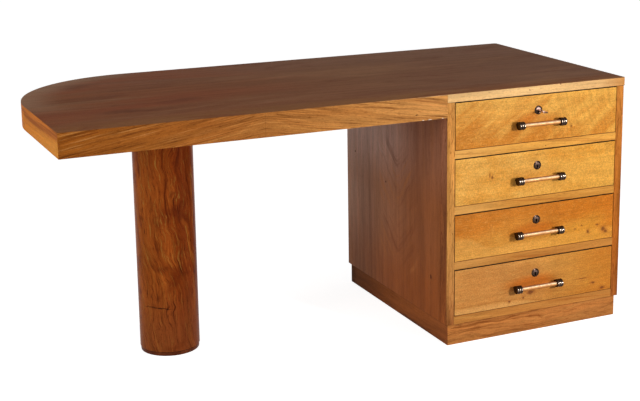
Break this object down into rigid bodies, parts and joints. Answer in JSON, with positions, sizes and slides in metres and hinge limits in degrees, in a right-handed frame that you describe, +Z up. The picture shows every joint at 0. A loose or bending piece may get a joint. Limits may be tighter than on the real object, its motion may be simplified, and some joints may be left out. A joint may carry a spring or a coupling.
{
  "type": "pedestal desk",
  "caption": "Wooden desk whose long top, round at one back corner, rests on a pedestal of lockable drawers with bar pulls and on one thick round column.",
  "frame": {"origin": "on the floor, under the middle of the overall size with the pulls and the key included", "axes": "+X runs along the desk from the column to the drawers, +Y from the drawers' front to the back, +Z up"},
  "size_m": [1.72, 0.8124, 0.76],
  "materials": {
    "top_veneer": "satin, dark brown veneer with straight grain along the desk",
    "core_board": "plain sawn board",
    "apron_veneer": "satin, orange-brown veneer with streaky slanting grain",
    "edge_lipping": "satin, pale honey solid wood",
    "inner_wood": "unpolished solid wood",
    "column_veneer": "satin, red-brown veneer with upright figure",
    "column_base": "satin, dark red-brown turned disc",
    "side_veneer": "satin, brown crown-cut veneer with upright grain",
    "back_veneer": "satin, brown veneered plywood",
    "plywood": "unpolished birch plywood",
    "plinth_wood": "satin, worn orange-brown solid wood",
    "plinth_veneer": "satin, dark brown veneer, scuffed along the foot",
    "drawer_veneer": "satin, honey-gold figured veneer",
    "drawer_wood": "waxed pale solid wood",
    "pull_copper": "polished copper",
    "dark_metal": "polished black-brown oxidised brass",
    "lock_nickel": "dulled nickel plate",
    "bolt_brass": "plain brass",
    "key_nickel": "worn nickel plate"
  },
  "bodies": {
    "desk": {"top_veneer": "top_veneer", "top_board": "core_board", "front_apron": "apron_veneer", "end_apron": "apron_veneer", "curved_apron": "apron_veneer", "back_apron": "apron_veneer", "edge_strips": "edge_lipping", "cross_bearers": "inner_wood", "column_inner": "inner_wood", "column_tube": "column_veneer", "column_base": "column_base", "left_side_panel": "side_veneer", "right_side_panel": "side_veneer", "front_stiles": "edge_lipping", "drawer_rails": "edge_lipping", "drawer_runners": "inner_wood", "bottom_board": "plywood", "back_panel": "back_veneer", "plinth_front": "plinth_wood", "plinth_returns": "plinth_veneer", "plinth_blocks": "inner_wood"},
    "drawer_1": {"drawer_1_front": "drawer_veneer", "drawer_1_sides": "drawer_wood", "drawer_1_back": "drawer_wood", "drawer_1_bottom": "plywood", "drawer_1_pull_bar": "pull_copper", "drawer_1_fittings": "dark_metal", "lock_1_case": "lock_nickel"},
    "drawer_2": {"drawer_2_front": "drawer_veneer", "drawer_2_sides": "drawer_wood", "drawer_2_back": "drawer_wood", "drawer_2_bottom": "plywood", "drawer_2_pull_bar": "pull_copper", "drawer_2_fittings": "dark_metal", "lock_2_case": "lock_nickel"},
    "drawer_3": {"drawer_3_front": "drawer_veneer", "drawer_3_sides": "drawer_wood", "drawer_3_back": "drawer_wood", "drawer_3_bottom": "plywood", "drawer_3_pull_bar": "pull_copper", "drawer_3_fittings": "dark_metal", "lock_3_case": "lock_nickel"},
    "drawer_4": {"drawer_4_front": "drawer_veneer", "drawer_4_sides": "drawer_wood", "drawer_4_back": "drawer_wood", "drawer_4_bottom": "plywood", "drawer_4_pull_bar": "pull_copper", "drawer_4_fittings": "dark_metal", "lock_4_case": "lock_nickel"},
    "bolt_1": {"lock_1_bolt": "bolt_brass"},
    "bolt_2": {"lock_2_bolt": "bolt_brass"},
    "bolt_3": {"lock_3_bolt": "bolt_brass"},
    "bolt_4": {"lock_4_bolt": "bolt_brass"},
    "key": {"key": "key_nickel"}
  },
  "joints": [
    {"name": "drawer_1_slide", "type": "slide", "parent": "desk", "child": "drawer_1", "axis": [0, -1, 0], "range_m": [0, 0.46]},
    {"name": "drawer_2_slide", "type": "slide", "parent": "desk", "child": "drawer_2", "axis": [0, -1, 0], "range_m": [0, 0.46]},
    {"name": "drawer_3_slide", "type": "slide", "parent": "desk", "child": "drawer_3", "axis": [0, -1, 0], "range_m": [0, 0.46]},
    {"name": "drawer_4_slide", "type": "slide", "parent": "desk", "child": "drawer_4", "axis": [0, -1, 0], "range_m": [0, 0.46]},
    {"name": "bolt_1_throw", "type": "slide", "parent": "drawer_1", "child": "bolt_1", "axis": [0, 0, 1], "range_m": [0, 0.008]},
    {"name": "bolt_2_throw", "type": "slide", "parent": "drawer_2", "child": "bolt_2", "axis": [0, 0, 1], "range_m": [0, 0.008]},
    {"name": "bolt_3_throw", "type": "slide", "parent": "drawer_3", "child": "bolt_3", "axis": [0, 0, 1], "range_m": [0, 0.008]},
    {"name": "bolt_4_throw", "type": "slide", "parent": "drawer_4", "child": "bolt_4", "axis": [0, 0, 1], "range_m": [0, 0.008]},
    {"name": "key_turn", "type": "hinge", "parent": "drawer_1", "child": "key", "pos_m": [0.5535, -0.39425, 0.686], "axis": [0, -1, 0], "range_deg": [0, 180]}
  ],
  "couplings": [
    {"joint": "key_turn", "follows": "bolt_1_throw", "rad_per_m": 392.7}
  ]
}
